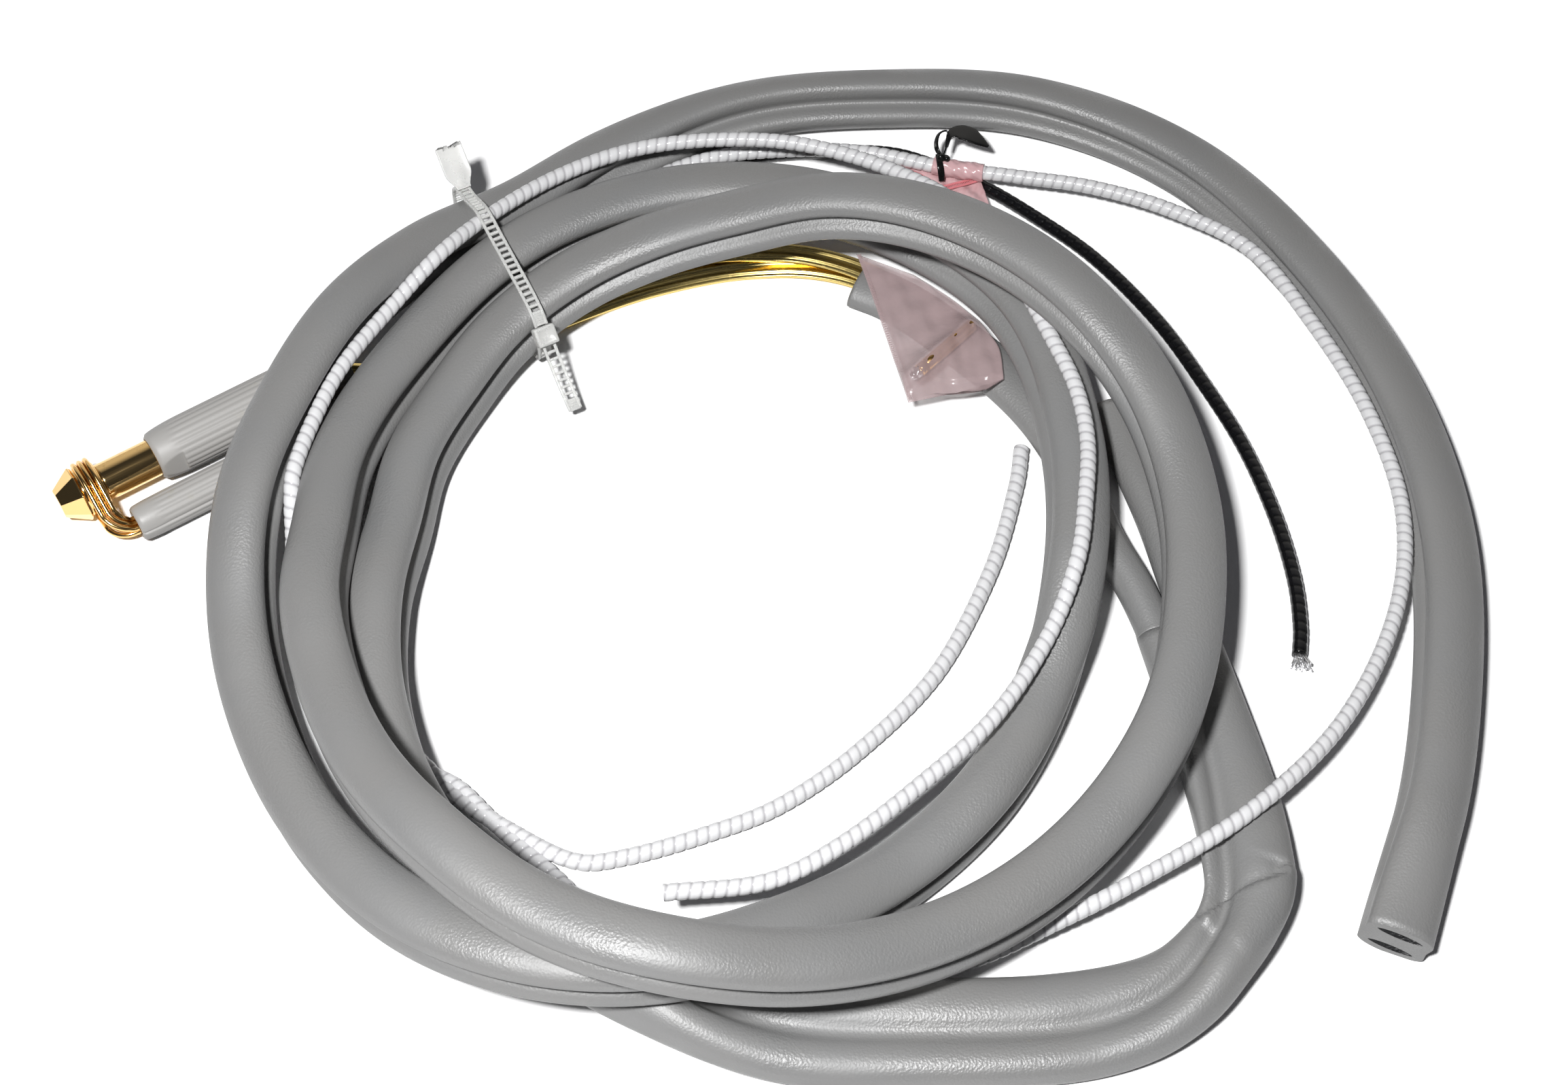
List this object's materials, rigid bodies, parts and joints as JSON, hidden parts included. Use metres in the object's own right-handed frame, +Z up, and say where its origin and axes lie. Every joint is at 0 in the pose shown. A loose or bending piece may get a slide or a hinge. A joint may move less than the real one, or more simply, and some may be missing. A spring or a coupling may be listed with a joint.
{
  "type": "cable release with coiled sheath",
  "caption": "Twin-bore cable release in a hand-wound coil: ribbed grips, a sprung gilt plunger hooked by a wire link, brass pull strips, loose cables, a cable tie and a parts bag.",
  "frame": {"origin": "middle of the coil's footprint, on the table it lies on", "axes": "+X to the right along the coil's long side, +Y away from the front, +Z up"},
  "size_m": [0.4612, 0.3857, 0.0669],
  "materials": {
    "grey_vinyl_sheath": "soft satin grey vinyl, dull, with stains",
    "natural_nylon": "translucent natural nylon",
    "brass_strip": "satin rolled brass with two lengthwise ribs",
    "ribbed_grey_plastic": "satin grey with fine lengthwise flutes",
    "dark_grey_plug": "dull dark grey",
    "bronze_bush": "machined bronze",
    "spring_steel": "drawn spring wire",
    "gilt_brass": "polished gilt",
    "gilt_wire": "polished gilt wire",
    "steel": "turned steel",
    "white_spiral_wrap": "glossy white spiral wrap",
    "black_braid": "black braid with light flecks",
    "silver_braid": "bare tinned braid",
    "pink_film": "thin clear pink film",
    "black_twist_tie": "glossy black plastic over wire",
    "brass_pin": "turned brass",
    "silver_tip": "bright turned metal"
  },
  "bodies": {
    "root": {"sheath_cut_end": "grey_vinyl_sheath", "sheath_coil": "grey_vinyl_sheath", "sheath_outer_run": "grey_vinyl_sheath", "sheath_kinked_run": "grey_vinyl_sheath", "sheath_cut_stub": "grey_vinyl_sheath", "sheath_end_tube": "grey_vinyl_sheath", "cable_tie_strap": "natural_nylon", "cable_tie_head": "natural_nylon", "cable_tie_tail": "natural_nylon", "cable_tie_paddle": "natural_nylon", "front_strip": "brass_strip", "rear_strip": "brass_strip", "upper_grip": "ribbed_grey_plastic", "lower_grip": "ribbed_grey_plastic", "upper_grip_plug": "dark_grey_plug", "lower_grip_plug": "dark_grey_plug", "guide_bush": "bronze_bush", "return_spring": "spring_steel", "white_cable": "white_spiral_wrap", "black_cable": "black_braid", "black_cable_braid": "silver_braid", "bag_film": "pink_film", "bag_zip_strip": "pink_film", "bag_twist_tie": "black_twist_tie", "spare_pin_body": "brass_pin", "spare_pin_tip": "silver_tip"},
    "plunger": {"nose_cone": "gilt_brass", "plunger_tube": "gilt_brass", "spring_seat": "steel"},
    "link": {"link_wire": "gilt_wire", "link_slider": "steel"}
  },
  "joints": [
    {"name": "plunger_slide", "type": "slide", "parent": "root", "child": "plunger", "axis": [-0.8348, -0.5505, 0], "range_m": [0, 0.008], "stiffness_N_per_m": 400, "springref_m": -0.002, "deforming": ["return_spring"]},
    {"name": "link_slide", "type": "slide", "parent": "root", "child": "link", "axis": [-0.8348, -0.5505, 0], "range_m": [0, 0.008]}
  ],
  "couplings": [
    {"joint": "link_slide", "follows": "plunger_slide", "ratio": 1}
  ]
}
